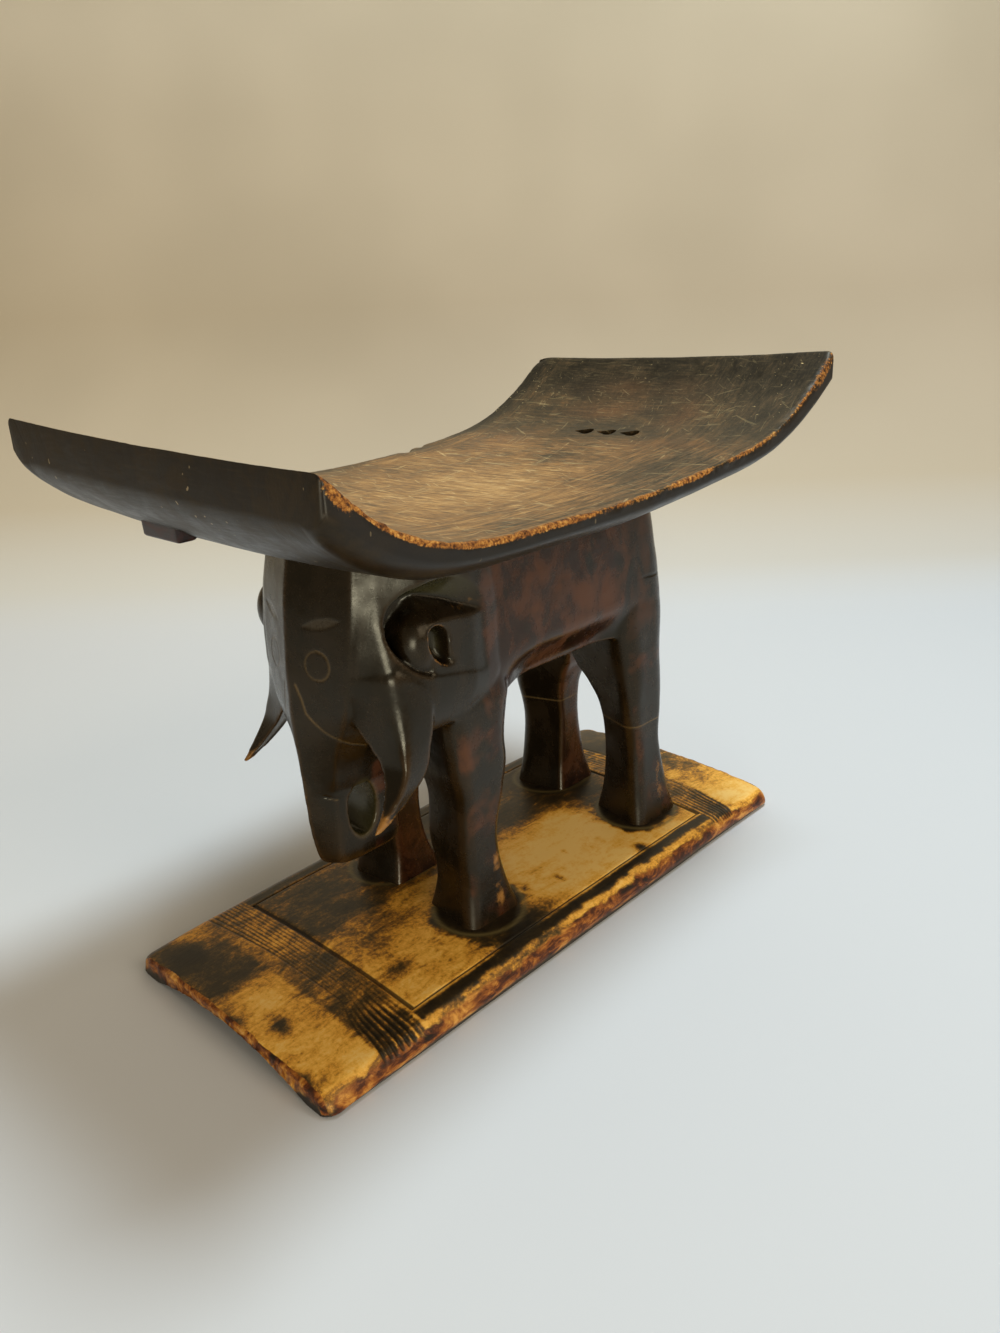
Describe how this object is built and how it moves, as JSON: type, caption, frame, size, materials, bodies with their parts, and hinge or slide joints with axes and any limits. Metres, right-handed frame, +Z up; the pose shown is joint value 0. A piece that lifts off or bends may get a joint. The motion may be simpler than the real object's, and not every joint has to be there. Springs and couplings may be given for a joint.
{
  "type": "stool",
  "caption": "Carved wooden stool: a curved seat with upturned ends carried on the back of a standing elephant, on a long domed base board.",
  "frame": {"origin": "on the floor, under the middle of the part's bounding box", "axes": "+Z up, X across the stool, Y along it; the elephant faces -Y"},
  "size_m": [0.3144, 0.5282, 0.4065],
  "materials": {
    "worn_base": "waxed, worn through to pale wood",
    "worn_seat": "dark patina, polished by use",
    "dark_wood": "glossy dark patina",
    "polished_body": "glossy red-brown patina"
  },
  "bodies": {
    "root": {"base": "worn_base", "seat": "worn_seat", "seat_lug": "dark_wood", "torso": "polished_body", "head": "dark_wood", "trunk_curl": "dark_wood", "tusk_right": "dark_wood", "tusk_left": "dark_wood", "ear_right": "dark_wood", "ear_left": "dark_wood", "leg_front_right": "polished_body", "leg_front_left": "polished_body", "leg_rear_right": "polished_body", "leg_rear_left": "polished_body"}
  },
  "joints": []
}
